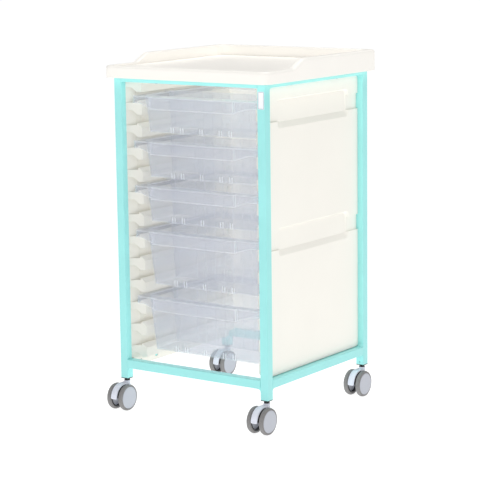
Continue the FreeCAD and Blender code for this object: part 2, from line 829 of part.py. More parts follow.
def make_liners():
    """Runner liner: hollow runners with rounded noses on one corrugated side wall."""
    body = new_body("runner_liner_right")
    body.AllowCompound = True
    edge_x = S.inner_half_width
    wall_x = S.slot_wall_x
    face_x = S.runner_face_x
    wall = S.liner_wall
    mouth = S.inner_half_depth + S.mouth_lap
    throat = mouth - S.mouth_run
    rear = S.inner_half_depth - S.runner_rear_inset
    floor = S.top_slot_floor_height
    ridge = floor + S.ridge_rise
    under = floor - S.runner_pitch + S.slot_open_height
    beyond = 1

    nose = [
        (face_x, -throat, S.nose_round),
        (edge_x, -mouth),
        (wall_x + wall / 2, -throat),
        (wall_x + wall / 2, rear),
        (face_x, rear),
    ]
    runner = pad_up(body, under, ridge, nose)
    ridge_x = face_x + S.ridge_width
    land_x = ridge_x - S.ridge_land
    tread = pocket_back(body, -mouth - beyond, rear + beyond, [
        (edge_x + beyond, floor),
        (edge_x + beyond, ridge + beyond),
        (face_x - beyond, ridge + beyond),
        (face_x - beyond, ridge - S.ridge_bevel - beyond),
        (land_x, ridge),
        (ridge_x - beyond, ridge),
        (ridge_x, floor),
    ])
    flare_x = face_x + S.flare_inset
    flare_top = under + S.mouth_flare_rise
    flare = pocket_back(body, -mouth - beyond, rear + beyond, [
        (flare_x, under - beyond),
        (edge_x + beyond, under - beyond),
        (edge_x + beyond, flare_top),
        (wall_x, flare_top, S.mouth_flare_rise / 2),
        (flare_x, under, S.mouth_flare_rise / 2),
    ])
    repeat(body, [runner, tread, flare], "Z", S.runner_pitch, S.runner_count, True)

    high_under = under + S.runner_pitch
    pad_up(body, high_under, S.upper_liner_height, nose)
    pocket_back(body, -mouth - beyond, rear + beyond, [
        (flare_x, high_under - beyond),
        (edge_x + beyond, high_under - beyond),
        (edge_x + beyond, high_under + S.mouth_flare_rise),
        (wall_x, high_under + S.mouth_flare_rise, S.mouth_flare_rise / 2),
        (flare_x, high_under, S.mouth_flare_rise / 2),
    ])

    lip_y = wall * hypotenuse(S.mouth_run, S.liner_channel) / S.liner_channel
    bend_y = mouth - lip_y - (S.liner_channel - wall) * S.mouth_run / S.liner_channel
    outer_x = wall_x + wall
    skin = [
        (edge_x, -mouth),
        (edge_x, -mouth + lip_y),
        (outer_x, -bend_y),
        (outer_x, bend_y),
        (edge_x, mouth - lip_y),
        (edge_x, mouth),
        (wall_x, throat),
        (wall_x, -throat),
    ]
    pad_up(body, S.lower_liner_height, S.upper_liner_height, skin)

    tray = [(edge_x, -mouth), (edge_x, mouth), (wall_x, throat), (wall_x, -throat)]
    flange_end = S.inner_half_depth - S.seat_gap
    foot = flange_screw_height("lower") - S.liner_flange_drop / 2
    crown = flange_screw_height("upper") + S.liner_flange_drop / 2
    pad_up(body, S.lower_liner_height, S.lower_liner_height + wall, tray)
    pad_up(body, S.upper_liner_height - wall, S.upper_liner_height, tray)
    pad_right(body, edge_x - wall, edge_x,
              box_corners(-flange_end, foot, flange_end, S.lower_liner_height + wall))
    pad_right(body, edge_x - wall, edge_x,
              box_corners(-flange_end, S.upper_liner_height - wall, flange_end, crown))

    bevel_run = land_x - face_x
    bevel_slope = S.ridge_bevel / bevel_run
    cavity_x = face_x + wall
    cavity_top = floor - wall
    bevel_shift = wall * hypotenuse(bevel_run, S.ridge_bevel) / bevel_run
    cavity_low = ridge - S.ridge_bevel - bevel_shift + bevel_slope * wall
    cavity_crown_x = cavity_x + (cavity_top - cavity_low) / bevel_slope
    cavity = pocket_back(body, -throat + S.nose_round / 2 + wall, rear - wall, [
        (cavity_x, under + wall),
        (flare_x, under + wall),
        (outer_x, flare_top + wall),
        (outer_x, cavity_top),
        (cavity_crown_x, cavity_top),
        (cavity_x, cavity_low),
    ])
    repeat(body, [cavity], "Z", S.runner_pitch, S.runner_count, True)

    half_slot = S.obround_long / 2
    half_tall = S.obround_width / 2
    slot_height = flange_screw_height("lower")
    pocket_right(body, edge_x - wall, edge_x, box_corners(
        -S.obround_from_centre - half_slot, slot_height - half_tall,
        -S.obround_from_centre + half_slot, slot_height + half_tall, half_tall - NEAR))
    for level in ("lower", "upper"):
        centres = [(y, flange_screw_height(level)) for y in liner_screw_places()]
        drill(body, "YZ", edge_x - wall, wall, centres, S.screw_hole_radius)
    drill(body, "YZ", wall_x, wall, panel_screw_places(), S.screw_hole_radius)
    mirrored(body, "runner_liner_left")
    return body


# ---------------------------------------------------------------------------
# Back panel
# ---------------------------------------------------------------------------

def make_back_panel():
    """Back panel with upright grooves, and side flanges screwed to the rear posts."""
    body = new_body("back_panel")
    half = S.inner_half_width - S.seat_gap
    face = S.inner_half_depth + S.mouth_lap + S.seat_gap
    low = S.lower_rail_top + S.seat_gap
    high = S.upper_rail_foot - S.seat_gap
    pad_back(body, face, face + S.back_skin, box_corners(-half, low, half, high))
    for left in (-half, half - S.back_skin):
        pad_back(body, face + S.back_skin, face + S.back_flange_depth,
                 box_corners(left, low, left + S.back_skin, high))
    start = -S.groove_pitch * (S.groove_count - 1) / 2 - S.groove_width / 2
    groove = pocket_back(body, face, face + S.groove_depth,
                         box_corners(start, low, start + S.groove_width, high))
    repeat(body, [groove], "X", S.groove_pitch, S.groove_count)
    centres = [(S.post_y, height) for height in back_screw_heights()]
    for left in (-half, half - S.back_skin):
        drill(body, "YZ", left, S.back_skin, centres, S.screw_hole_radius)
    return body


# ---------------------------------------------------------------------------
# Trays and dividers
# ---------------------------------------------------------------------------

def bin_corners(level, shell):
    """The bin's outline at a level below the rim; shell is the wall to take off."""
    lean = S.bin_lean * level + shell
    half = S.bin_half_width - lean
    return box_corners(-half, -S.bin_front + lean, half, S.bin_rear - lean, S.bin_corner - shell)


def rim_top(slot):
    """Height of the rim's top of a tray in a slot."""
    return (S.top_slot_floor_height - S.runner_pitch * slot + S.tray_rim_height + S.seat_gap)


def make_tray(label, slot, depth):
    """Moulded tray: bin, down-turned rim, dipping front skirt and a proud handle band."""
    body = new_body(label, 0, 0, rim_top(slot))
    wall = S.tray_wall
    half = S.tray_half_width
    front = -S.tray_front
    rear = S.tray_rear
    rim = S.tray_rim_height

    pad_up(body, -rim, 0, box_corners(-half, front, half, rear, S.tray_rim_corner))
    pocket_up(body, -rim, -wall, box_corners(-half + wall, front + wall, half - wall, rear - wall,
                                             S.tray_rim_corner - wall))
    pocket_right(body, -half - 1, half + 1, box_corners(
        rear - S.tray_rim_corner, -rim - 1, rear + 1, -S.tray_rear_rim_height))

    grip = half - S.handle_inset
    dip = half - S.skirt_dip_inset
    drop = -S.handle_drop
    pad_back(body, front, front + wall, [
        (-dip, -rim),
        (-grip, drop + 1),
        (grip, drop + 1),
        (dip, -rim),
        (dip, -rim + 2),
        (-dip, -rim + 2),
    ])
    proud = front - S.handle_proud
    pad_back(body, proud, front + wall, box_corners(-grip, drop, grip, 0))
    pocket_up(body, drop, -wall, box_corners(-grip + wall, proud + wall, grip - wall, front + wall))

    loft(body, "AdditiveLoft", [(-depth, bin_corners(depth, 0)), (-wall / 2, bin_corners(wall / 2, 0))])
    loft(body, "SubtractiveLoft", [(S.tray_floor - depth, bin_corners(depth - S.tray_floor, wall)),
                                   (0, bin_corners(0, wall))])

    half = S.stacking_rib_width / 2
    foot_front = -S.bin_front + S.bin_lean * depth
    sketch = new_sketch(body, "XZ", foot_front - S.stacking_rib_proud)
    for step in STACKING_RIB_STEPS:
        for sign in (-1, 1):
            middle = S.stacking_rib_pitch * step + S.stacking_rib_spacing / 2 * sign
            rectangle(sketch, middle - half, -depth, middle + half, S.stacking_rib_tall - depth)
    feature(body, "Pad", sketch, S.stacking_rib_proud + wall / 2, True)
    return body


def make_divider(label, slot, depth):
    """Cross divider: a ribbed plate across the bin, with end flanges hooked over its side walls."""
    body = new_body(label, 0, -S.divider_front, rim_top(slot))
    gap = S.seat_gap
    thick = S.divider_thickness
    low = S.tray_floor - depth + gap
    inner = S.tray_wall + gap
    low_half = S.bin_half_width - S.bin_lean * depth - inner
    high_half = S.bin_half_width - inner - gap
    top = thick + gap
    pad_back(body, 0, thick, [(-low_half, low), (low_half, low), (high_half, top), (-high_half, top)])
    hook = S.bin_half_width + S.divider_hook_reach
    front = thick - S.divider_end_run
    right_end = [(low_half - thick, low), (low_half, low), (high_half, top), (high_half - thick, top)]
    left_end = [(-x, z) for x, z in reversed(right_end)]
    for end in (left_end, right_end):
        pad_back(body, front, thick, end)
    for left, right in ((-hook, thick - high_half), (high_half - thick, hook)):
        pad_up(body, gap, top, box_corners(left, front, right, thick, thick))

    first = -S.divider_rib_pitch * (S.divider_rib_count - 1) / 2
    width = S.divider_rib_width
    rib = pad_back(body, -thick / 2, thick, box_corners(first - width / 2, low, first + width / 2, top))
    repeat(body, [rib], "X", S.divider_rib_pitch, S.divider_rib_count)
    return body


def make_trays():
    """All trays, numbered from the top, each with its divider."""
    number = 0
    for slots, depth in ((SHALLOW_SLOTS, S.shallow_depth), (DEEP_SLOTS, S.deep_depth)):
        for slot in slots:
            number += 1
            make_tray("tray_%d" % number, slot, depth)
            make_divider("tray_divider_%d" % number, slot, depth)


# ---------------------------------------------------------------------------
# Castors
# ---------------------------------------------------------------------------

def make_housing(label, x, y):
    """Castor housing: hood strip and web around the axle, axle boss and upright swivel boss."""
    body = new_body(label, x, y - S.castor_trail, S.wheel_radius)
    half = S.hood_half_width
    web = S.fork_web / 2
    hood = S.wheel_radius + S.hood_clear
    inner = hood - S.hood_thickness
    section = [
        (-web, 0), (web, 0), (web, inner), (half, inner),
        (half, hood), (-half, hood), (-half, inner), (-web, inner),
    ]
    revolve(body, "Revolution", "XZ", section, "X", 90)
    pad_back(body, 0, S.castor_trail, section)

    crown = S.swivel_boss_height - S.wheel_radius
    foot = S.swivel_boss_foot - S.wheel_radius
    sketch = new_sketch(body, "XY", foot)
    circle(sketch, 0, S.castor_trail, S.swivel_boss_radius)
    feature(body, "Pad", sketch, crown - foot)
    boss_half = S.wheel_spacing / 2 - S.seat_gap
    sketch = new_sketch(body, "YZ", -boss_half)
    circle(sketch, 0, 0, S.hub_boss_radius)
    feature(body, "Pad", sketch, boss_half * 2)

    def at_strip_end(edge):
        box = edge.BoundBox
        beside = min(abs(box.XMin), abs(box.XMax)) > half.value - NEAR
        return beside and box.XLength < NEAR and abs(box.ZMax) < NEAR and box.YMax < -inner.value + NEAR

    round_edges(body, S.hood_end_round, at_strip_end)
    field = half - S.hood_border
    revolve(body, "Groove", "XZ", box_corners(-field, hood - S.hood_field_depth, field, hood + 1),
            "X", HOOD_FIELD_TURN)
    drill(body, "YZ", -boss_half, boss_half * 2, [(0, 0)], S.axle_radius + S.running_gap / 2)
    drill(body, "XY", foot + S.swivel_bore_floor, crown - foot, [(0, S.castor_trail)],
          S.stem_radius + S.running_gap)
    return body


def make_wheel(label, x, y, turn):
    """Wheel centre: hub, rim and flat outer cap, with a blind bore for the axle."""
    body = new_body(label, x, y, S.wheel_radius, turn)
    near = S.wheel_spacing / 2
    far = near + S.wheel_width
    rim = S.wheel_radius - S.tyre_thickness
    bore = S.axle_radius + S.running_gap
    cap = far - S.cap_thickness
    revolve(body, "Revolution", "XZ", [
        (near, bore),
        (cap, bore),
        (cap, 0),
        (far, 0),
        (far, rim - S.cap_bevel),
        (far - S.cap_bevel, rim),
        (near + S.tyre_side_step, rim),
        (near + S.tyre_side_step, rim - S.hub_rim),
        (cap, rim - S.hub_rim),
        (cap, S.hub_boss_radius),
        (near, S.hub_boss_radius),
    ], "X")
    return body


def make_tyre(label, x, y, turn):
    """Tyre around the wheel's rim, its round shoulders turned in two bevels each."""
    body = new_body(label, x, y, S.wheel_radius, turn)
    near = S.wheel_spacing / 2 + S.tyre_side_step
    far = S.wheel_spacing / 2 + S.wheel_width - S.tyre_side_step
    seat = S.wheel_radius - S.tyre_thickness + S.running_gap
    side = S.wheel_radius - S.tyre_round
    shoulder = S.tyre_round
    turn_in = shoulder * TYRE_SHOULDER_TURN_IN
    revolve(body, "Revolution", "XZ", [
        (near, seat),
        (far, seat),
        (far, side),
        (far - turn_in, S.wheel_radius - turn_in),
        (far - shoulder, S.wheel_radius),
        (near + shoulder, S.wheel_radius),
        (near + turn_in, S.wheel_radius - turn_in),
        (near, side),
    ], "X")
    return body


def make_axle(label, x, y):
    """Axle pin through the housing, with a wheel at each end."""
    body = new_body(label, x, y, S.wheel_radius)
    half = S.wheel_spacing / 2 + S.wheel_width - S.cap_thickness - S.seat_gap
    sketch = new_sketch(body, "YZ", -half)
    circle(sketch, 0, 0, S.axle_radius)
    feature(body, "Pad", sketch, half * 2)
    return body


def castor_corners():
    """Each castor's name with the post that it stands under."""
    for end, toward_back in ENDS:
        for side, toward_right in SIDES:
            yield "%s_%s" % (end, side), S.post_x * toward_right, S.post_y * toward_back


def make_castors():
    """Housing, axle, two wheels and two tyres under each post."""
    for corner, x, y in castor_corners():
        axle_y = y - S.castor_trail
        make_housing("castor_housing_" + corner, x, y)
        make_axle("castor_axle_" + corner, x, axle_y)
        for side, turn in (("left", 180), ("right", 0)):
            make_wheel("wheel_%s_%s" % (corner, side), x, axle_y, turn)
            make_tyre("tyre_%s_%s" % (corner, side), x, axle_y, turn)


def make_plug():
    """Square plug for a post's end, bored for the castor's stem."""
    body = new_body("plug_pattern")
    half = S.tube_side / 2
    fit = half - S.tube_wall - S.running_gap
    pad_up(body, -S.plug_flange, 0, box_corners(-half, -half, half, half, S.tube_corner))
    pad_up(body, 0, S.plug_reach, box_corners(-fit, -fit, fit, fit))
    drill(body, "XY", -S.plug_flange, S.plug_flange + S.plug_reach, [(0, 0)],
          S.stem_radius + S.running_gap)
    return body


def make_stem():
    """Castor stem: neck collar under the plug and a pivot down into the housing."""
    body = new_body("stem_pattern")
    foot = S.swivel_boss_foot + S.swivel_bore_floor + S.seat_gap - S.post_foot_height
    neck_low = S.swivel_boss_height + S.seat_gap - S.post_foot_height
    neck_high = -S.plug_flange
    revolve(body, "Revolution", "XZ", [
        (0, foot), (S.stem_radius, foot), (S.stem_radius, neck_low), (S.stem_neck_radius, neck_low),
        (S.stem_neck_radius, neck_high), (S.stem_radius, neck_high),
        (S.stem_radius, S.stem_reach), (0, S.stem_reach),
    ], "Z")
    return body


def make_screw(label, shank):
    """Pan-head screw, head below z = 0 and shank up along +Z."""
    body = new_body(label)
    head = S.screw_head_height
    revolve(body, "Revolution", "XZ", [
        (0, -head), (S.screw_head_radius * 0.7, -head), (S.screw_head_radius, 0),
        (S.screw_shank_radius, 0), (S.screw_shank_radius, shank), (0, shank),
    ], "Z")
    return body


# ---------------------------------------------------------------------------
# Groups of like pieces
# ---------------------------------------------------------------------------

def group_of(pattern, label, places):
    """One node holding a copy of a piece at each place, given as (point, direction of its Z)."""
    doc.recompute()
    copies = []
    for point, direction in places:
        spot = V(*[length(value).value for value in point])
        copy = pattern.Shape.copy()
        copy.Placement = FreeCAD.Placement(spot, FreeCAD.Rotation(V(0, 0, 1), V(*direction)))
        copies.append(copy)
    group = doc.addObject("Part::Feature", label)
    group.Label = label
    group.Shape = Part.makeCompound(copies)
    return group


def make_groups():
    """Plugs, stems and screws: identical small pieces, one group for each use."""
    upright = (0, 0, 1)
    post_ends = [((x, y, S.post_foot_height), upright) for corner, x, y in castor_corners()]
    group_of(make_plug(), "castor_plugs", post_ends)
    group_of(make_stem(), "castor_stems", post_ends)

    rail_foot = S.upper_rail_foot
    top_places = [((x, y, rail_foot), upright) for x, y in top_screw_points()]
    top_screw = make_screw("top_screw_pattern", S.tube_side + S.top_screw_bite)
    group_of(top_screw, "worktop_screws", top_places)

    liner_face = S.inner_half_width - S.liner_wall
    liner_places = [((liner_face * toward_right, y, flange_screw_height(level)), (toward_right, 0, 0))
                    for side, toward_right in SIDES
                    for y in liner_screw_places()
                    for level in ("lower", "upper")]
    liner_screw = make_screw("liner_screw_pattern", S.liner_wall + S.tube_wall + S.tube_screw_tail)
    group_of(liner_screw, "liner_screws", liner_places)

    panel_places = [((S.slot_wall_x * toward_right, y, z), (toward_right, 0, 0))
                    for side, toward_right in SIDES for y, z in panel_screw_places()]
    panel_screw = make_screw("panel_screw_pattern", S.liner_wall + S.panel_screw_bite)
    group_of(panel_screw, "side_panel_screws", panel_places)

    back_face = S.inner_half_width - S.seat_gap - S.back_skin
    back_places = [((back_face * toward_right, S.post_y, height), (toward_right, 0, 0))
                   for side, toward_right in SIDES for height in back_screw_heights()]
    back_screw = make_screw("back_screw_pattern",
                            S.back_skin + S.seat_gap + S.tube_wall + S.tube_screw_tail)
    group_of(back_screw, "back_panel_screws", back_places)


# ---------------------------------------------------------------------------
# Build, check and write
# ---------------------------------------------------------------------------

def sub_parts():
    """The objects that become nodes: bodies, mirrored pieces and groups, without the patterns."""
    kinds = ("PartDesign::Body", "Part::Mirroring", "Part::Feature")
    return [item for item in doc.Objects
            if item.TypeId in kinds and not item.Label.endswith("_pattern")]


def check_and_export():
    """Stop at any failed object or bad shape, then write one STEP file per sub-part."""
    failed = [item.Name for item in doc.Objects
              if "Invalid" in item.State or "Error" in item.State]
    if failed:
        raise RuntimeError("objects that failed: " + ", ".join(failed))
    for part in sub_parts():
        if part.Shape.isNull() or not part.Shape.isValid():
            raise RuntimeError("bad shape: " + part.Label)
    os.makedirs("parts", exist_ok=True)
    for part in sub_parts():
        part.Shape.exportStep("parts/%s.step" % part.Label)
        print("%-34s solids %2d  volume %10.1f cm3" % (
            part.Label, len(part.Shape.Solids), part.Shape.Volume / 1000))


make_posts()
make_rails()
make_worktop()
make_side_panels()
make_liners()
make_back_panel()
make_trays()
make_castors()
make_groups()
doc.recompute()
check_and_export()
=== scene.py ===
"""Looks of the classroom tray storage unit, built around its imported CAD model.

Every CAD node keeps its own mesh and gets a procedural material. The bare label on the front right post is
the only thing added. Lengths are in metres and colours are linear; linear() makes them from display values.
"""

import json
import math

import bmesh
import bpy
from mathutils import Matrix, Vector

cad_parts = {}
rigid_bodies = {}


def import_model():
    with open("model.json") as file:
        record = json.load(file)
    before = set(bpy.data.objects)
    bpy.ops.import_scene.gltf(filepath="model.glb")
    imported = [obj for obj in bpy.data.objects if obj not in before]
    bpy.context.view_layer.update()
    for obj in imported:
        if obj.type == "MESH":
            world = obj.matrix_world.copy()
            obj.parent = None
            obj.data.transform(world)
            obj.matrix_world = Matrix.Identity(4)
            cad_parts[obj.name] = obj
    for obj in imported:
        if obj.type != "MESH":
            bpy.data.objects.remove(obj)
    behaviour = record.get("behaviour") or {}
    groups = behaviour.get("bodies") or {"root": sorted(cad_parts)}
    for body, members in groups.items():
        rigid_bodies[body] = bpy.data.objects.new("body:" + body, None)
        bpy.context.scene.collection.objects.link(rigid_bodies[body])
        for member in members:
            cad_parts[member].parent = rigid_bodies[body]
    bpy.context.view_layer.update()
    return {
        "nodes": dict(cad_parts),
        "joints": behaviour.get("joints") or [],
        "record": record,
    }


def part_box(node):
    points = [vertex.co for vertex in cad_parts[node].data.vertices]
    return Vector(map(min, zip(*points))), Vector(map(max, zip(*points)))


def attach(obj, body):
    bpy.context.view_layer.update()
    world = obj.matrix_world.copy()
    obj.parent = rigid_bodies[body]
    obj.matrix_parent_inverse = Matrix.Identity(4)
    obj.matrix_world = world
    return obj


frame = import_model()
nodes = frame["nodes"]
scene = bpy.context.scene


# ---------------------------------------------------------------------------
# Colours
# ---------------------------------------------------------------------------

def linear(red, green, blue):
    """A linear colour from 0 to 255 display values."""
    def channel(value):
        share = value / 255
        return share / 12.92 if share <= 0.04045 else ((share + 0.055) / 1.055) ** 2.4
    return channel(red), channel(green), channel(blue), 1.0


def darker(color, share):
    return color[0] * share, color[1] * share, color[2] * share, 1.0


WHITE = (1.0, 1.0, 1.0, 1.0)
FLOOR_GREY = (0.3, 0.3, 0.3, 1.0)
AQUA = linear(156, 229, 227)
WHITE_TOP = linear(246, 243, 237)
WHITE_PANEL = linear(243, 240, 232)
WHITE_LINER = linear(223, 221, 213)
# Painted light: the side panels' white plastic made lighter for the back panel, where the front light falls on
# it.
PAINTED_LIGHT_PANEL_WHITE = linear(249, 247, 241)
TRAY_BLUE = linear(221, 225, 236)
# Painted highlight: the bright lines of light along the clear plastic's edges.
TRAY_EDGE_HIGHLIGHT = linear(250, 252, 255)
CASTOR_GREY = linear(224, 227, 238)
CAP_GREY = linear(184, 187, 196)
TYRE_GREY = linear(134, 132, 132)
# Painted shade: the dark of the shadow between a castor's wheels, on its hub and on the wheels' inner sides.
PAINTED_SHADE_GREY = linear(24, 24, 27)
BLACK = linear(22, 22, 24)
ZINC = linear(190, 192, 196)
PAPER = linear(238, 240, 243)
BORDER_BLUE = linear(92, 112, 150)


# ---------------------------------------------------------------------------
# Materials
# ---------------------------------------------------------------------------

# The castors' covers and wheels change from pale to a painted shade at these places of their solids: the shade
# that falls between the wheels.
HOOD_INNER_RADIUS = 0.0352
HOOD_BLEND = 0.0004
CAP_DEPTH = 0.005
CAP_BLEND = 0.0003

# Clear plastic: how much it hides face on and edge on, and how wide its painted edge highlights are.
FACE_ON_ALPHA = 0.19
EDGE_ON_ALPHA = 0.42
FACING_START = 0.15
CLOUD_ALPHA = 0.02
EDGE_HIGHLIGHT_WIDTH = 0.0020
TRAY_EDGE_ALPHA = 0.65
DIVIDER_EDGE_ALPHA = 0.12

# How far a bevelled normal agrees with the flat one: at most the first on an edge, at least the second off it.
AGREES_ON_EDGE = 0.86
AGREES_OFF_EDGE = 0.99


class Recipe:
    """A node material with one Principled shader and a few shortcuts."""

    def __init__(self, name, color, roughness, **sockets):
        self.material = bpy.data.materials.new(name)
        self.material.use_nodes = True
        self.tree = self.material.node_tree
        self.tree.nodes.clear()
        output = self.tree.nodes.new("ShaderNodeOutputMaterial")
        self.shader = self.tree.nodes.new("ShaderNodeBsdfPrincipled")
        self.link(self.shader.outputs[0], output.inputs[0])
        self.shader.inputs["Base Color"].default_value = color
        self.shader.inputs["Roughness"].default_value = roughness
        self.color = color
        self.roughness = roughness
        for socket, value in sockets.items():
            self.shader.inputs[socket.replace("_", " ")].default_value = value
        self.place = self.node("ShaderNodeTexCoord").outputs["Object"]
        self.height = None

    def node(self, kind, **values):
        """A new node with its sockets or its own settings set by name."""
        made = self.tree.nodes.new(kind)
        for key, value in values.items():
            if key in made.inputs:
                made.inputs[key].default_value = value
            else:
                setattr(made, key, value)
        return made

    def link(self, source, target):
        self.tree.links.new(source, target)

    def vector(self, operation, first, second):
        """Vector arithmetic on a socket and a constant."""
        node = self.node("ShaderNodeVectorMath", operation=operation)
        self.link(first, node.inputs[0])
        node.inputs[1].default_value = second
        return node.outputs[0]

    def noise(self, scale, detail=2.0):
        """Noise over the object's own place, with features about 1 / scale metres wide."""
        texture = self.node("ShaderNodeTexNoise", Scale=scale, Detail=detail)
        self.link(self.place, texture.inputs["Vector"])
        return texture.outputs["Fac"]

    def ranged(self, value, low, high, start=0.3, stop=0.7):
        """A value mapped from (start, stop) to (low, high); noise lies mostly from 0.3 to 0.7."""
        node = self.node("ShaderNodeMapRange")
        self.link(value, node.inputs["Value"])
        for socket, number in (("From Min", start), ("From Max", stop), ("To Min", low), ("To Max", high)):
            node.inputs[socket].default_value = number
        return node.outputs[0]

    def total(self, first, second):
        """The sum of two values, held between 0 and 1."""
        adder = self.node("ShaderNodeMath", operation="ADD", use_clamp=True)
        self.link(first, adder.inputs[0])
        self.link(second, adder.inputs[1])
        return adder.outputs[0]

    def edges(self, width):
        """1 within about a width of a sharp edge, 0 elsewhere."""
        rounded = self.node("ShaderNodeBevel", samples=4, Radius=width)
        flat = self.node("ShaderNodeNewGeometry").outputs["True Normal"]
        turn = self.node("ShaderNodeVectorMath", operation="DOT_PRODUCT")
        self.link(rounded.outputs[0], turn.inputs[0])
        self.link(flat, turn.inputs[1])
        return self.ranged(turn.outputs["Value"], 1.0, 0.0, start=AGREES_ON_EDGE, stop=AGREES_OFF_EDGE)

    def bump(self, value, depth, strength=1.0):
        """Relief of a given depth, on top of any relief before."""
        node = self.node("ShaderNodeBump", Distance=depth, Strength=strength)
        self.link(value, node.inputs["Height"])
        if self.height is not None:
            self.link(self.height, node.inputs["Normal"])
        self.height = node.outputs[0]
        self.link(self.height, self.shader.inputs["Normal"])

    def vary_color(self, value, other):
        """Blend the colour towards another where value is high."""
        mix = self.node("ShaderNodeMix", data_type="RGBA")
        self.link(self.ranged(value, 0.0, 1.0), mix.inputs[0])
        ends = [socket for socket in mix.inputs if socket.type == "RGBA"]
        ends[0].default_value = self.color
        ends[1].default_value = other
        colour_out = next(socket for socket in mix.outputs if socket.type == "RGBA")
        self.link(colour_out, self.shader.inputs["Base Color"])

    def vary_roughness(self, value, spread):
        self.link(self.ranged(value, self.roughness - spread, self.roughness + spread),
                  self.shader.inputs["Roughness"])

    def moulded_skin(self, grain=0.00004, grain_scale=1500.0):
        """Slightly uneven gloss and the fine grain of a spark-eroded mould."""
        self.vary_roughness(self.noise(scale=35.0), spread=0.05)
        self.bump(self.noise(scale=grain_scale, detail=1.0), depth=grain, strength=0.6)


def painted(name):
    """Powder coat: faint orange peel, with slightly uneven gloss."""
    recipe = Recipe(name, AQUA, roughness=0.34, Coat_Weight=0.25, Coat_Roughness=0.18)
    recipe.vary_color(recipe.noise(scale=9.0, detail=3.0), darker(AQUA, 0.94))
    recipe.vary_roughness(recipe.noise(scale=60.0), spread=0.05)
    recipe.bump(recipe.noise(scale=700.0, detail=1.0), depth=0.00006, strength=0.55)
    return recipe.material


def moulded(name, color, roughness, **grain):
    """Opaque moulded plastic: very soft unevenness under the mould's grain."""
    recipe = Recipe(name, color, roughness)
    recipe.vary_color(recipe.noise(scale=5.0), darker(color, 0.975))
    recipe.bump(recipe.noise(scale=12.0, detail=1.0), depth=0.0006, strength=0.12)
    recipe.moulded_skin(**grain)
    return recipe.material


def clear_plastic(name, edge_alpha):
    """Milky clear plastic: see-through face on and cloudier at a glancing view, with a painted highlight along
    its edges that is whiter and less see-through.
    """
    recipe = Recipe(name, TRAY_BLUE, roughness=0.16, IOR=1.5)
    facing = recipe.node("ShaderNodeLayerWeight", Blend=0.35).outputs["Facing"]
    alpha = recipe.ranged(facing, FACE_ON_ALPHA, EDGE_ON_ALPHA, start=FACING_START, stop=1.0)
    cloud = recipe.ranged(recipe.noise(scale=14.0), -CLOUD_ALPHA, CLOUD_ALPHA)
    edge = recipe.edges(EDGE_HIGHLIGHT_WIDTH)
    # Painted highlight: whiter and less see-through within a few millimetres of each edge.
    recipe.vary_color(edge, TRAY_EDGE_HIGHLIGHT)
    edge_highlight = recipe.ranged(edge, 0.0, edge_alpha, start=0.0, stop=1.0)
    recipe.link(recipe.total(recipe.total(alpha, cloud), edge_highlight), recipe.shader.inputs["Alpha"])
    recipe.bump(recipe.noise(scale=18.0, detail=1.0), depth=0.0008, strength=0.15)
    return recipe.material


def castor_cover(name, axle):
    """Pale moulded housing whose web and hub, near the axle and between the wheels, are painted dark as the
    shade that falls there.
    """
    recipe = Recipe(name, CASTOR_GREY, roughness=0.3)
    from_axle = recipe.vector("SUBTRACT", recipe.place, axle)
    across = recipe.vector("MULTIPLY", from_axle, (0.0, 1.0, 1.0))
    reach = recipe.node("ShaderNodeVectorMath", operation="LENGTH")
    recipe.link(across, reach.inputs[0])
    # Painted shade: the housing is darkened within the hood, where shade falls between the wheels.
    shaded_hub = recipe.ranged(reach.outputs["Value"], 1.0, 0.0,
                           start=HOOD_INNER_RADIUS - HOOD_BLEND, stop=HOOD_INNER_RADIUS)
    recipe.vary_color(shaded_hub, PAINTED_SHADE_GREY)
    recipe.moulded_skin()
    return recipe.material


def wheel_disc(name, outer_x, inner_x):
    """Grey wheel whose outer disc is pale and whose side towards the housing is painted dark as the shade
    between the wheels.
    """
    recipe = Recipe(name, CAP_GREY, roughness=0.42)
    sideways = recipe.node("ShaderNodeSeparateXYZ")
    recipe.link(recipe.place, sideways.inputs[0])
    inward = math.copysign(1.0, inner_x - outer_x)
    edge_x = outer_x + inward * CAP_DEPTH
    # Painted shade: the wheel is darkened behind its outer disc, on the side in shade towards the housing.
    shaded_side = recipe.ranged(sideways.outputs["X"], 0.0, 1.0, start=edge_x, stop=edge_x + inward * CAP_BLEND)
    recipe.vary_color(shaded_side, PAINTED_SHADE_GREY)
    recipe.moulded_skin()
    return recipe.material


def tyre_rubber(name):
    """Soft grey tread: fine speckle and dull unevenness."""
    recipe = Recipe(name, TYRE_GREY, roughness=0.62)
    recipe.vary_color(recipe.noise(scale=220.0), darker(TYRE_GREY, 0.86))
    recipe.vary_roughness(recipe.noise(scale=90.0), spread=0.08)
    recipe.bump(recipe.noise(scale=1200.0), depth=0.00008, strength=0.6)
    return recipe.material


def zinc_plate(name):
    """Zinc plated steel: dull metal with a fine uneven grain."""
    recipe = Recipe(name, ZINC, roughness=0.32, Metallic=1.0)
    recipe.vary_roughness(recipe.noise(scale=400.0), spread=0.1)
    recipe.bump(recipe.noise(scale=900.0), depth=0.00003, strength=0.5)
    return recipe.material


# The look of each material slot, apart from the castors' covers and wheels, which have one look per node.
SLOT_LOOKS = {
    "frame_paint": painted("aqua_powder_coat"),
    "worktop": moulded("worktop_plastic", WHITE_TOP, 0.38, grain=0.00007, grain_scale=900.0),
    "panel": moulded("panel_plastic", WHITE_PANEL, 0.42),
    "liner": moulded("liner_plastic", WHITE_LINER, 0.4),
    "tray": clear_plastic("tray_plastic", TRAY_EDGE_ALPHA),
    "tyre": tyre_rubber("tyre_rubber"),
    "plug": moulded("plug_plastic", BLACK, 0.45),
    "stem": moulded("stem_black", BLACK, 0.4),
    "steel": zinc_plate("zinc_plate"),
}


